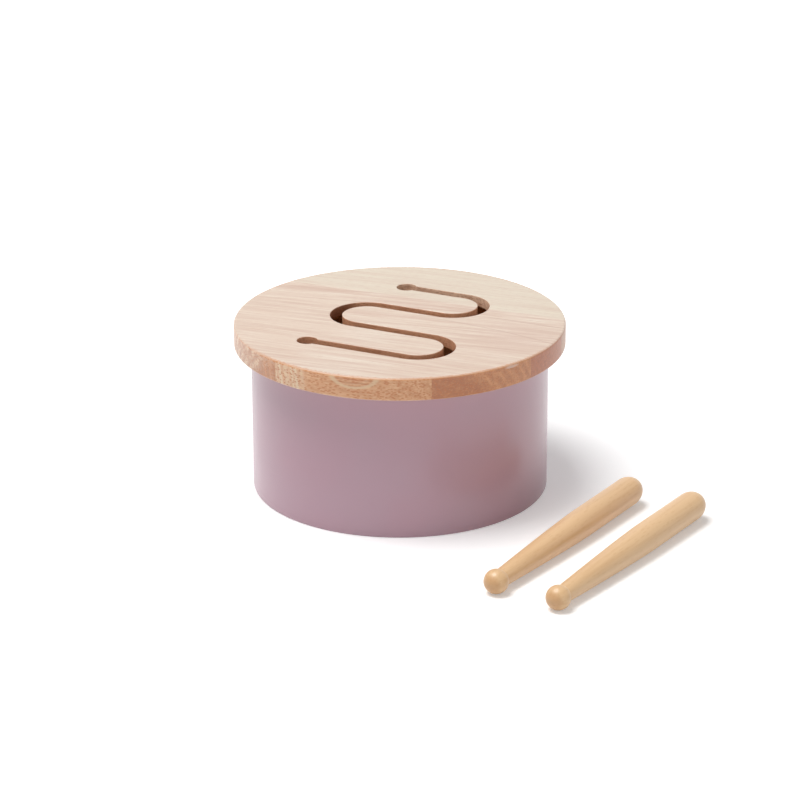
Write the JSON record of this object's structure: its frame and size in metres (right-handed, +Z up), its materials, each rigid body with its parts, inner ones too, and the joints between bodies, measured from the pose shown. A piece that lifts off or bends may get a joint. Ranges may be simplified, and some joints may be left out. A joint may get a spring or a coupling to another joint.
{
  "type": "tongue drum",
  "caption": "Low round wooden tongue drum: a board lid with a winding through slot on a painted ring, with turned ball-ended drumsticks beside it.",
  "frame": {"origin": "centre of the drum's underside, on the surface that the drum stands on", "axes": "+Z up through the lid, -Y towards the front, +X to the right; the drumsticks lie in front and to the right"},
  "size_m": [0.2322, 0.2445, 0.0857],
  "materials": {
    "bare_wood": "matt bare wood, pale, with pinkish grain lines",
    "mauve_paint": "satin mauve paint on plywood",
    "plywood": "plain sanded plywood",
    "lacquered_wood": "clear satin lacquer on tan wood"
  },
  "bodies": {
    "drum": {"lid_board_1": "bare_wood", "lid_board_2": "bare_wood", "lid_board_3a": "bare_wood", "lid_board_3b": "bare_wood", "lid_board_4a": "bare_wood", "lid_board_4b": "bare_wood", "lid_board_5": "bare_wood", "lid_board_6": "bare_wood", "shell": "mauve_paint", "base_board": "plywood"},
    "stick_left": {"drumstick_left": "lacquered_wood"},
    "stick_right": {"drumstick_right": "lacquered_wood"}
  },
  "joints": [
    {"name": "stick_left_lift", "type": "slide", "parent": "drum", "child": "stick_left", "axis": [0, 0, 1], "range_m": [0, 0.12]},
    {"name": "stick_right_lift", "type": "slide", "parent": "drum", "child": "stick_right", "axis": [0, 0, 1], "range_m": [0, 0.12]}
  ]
}
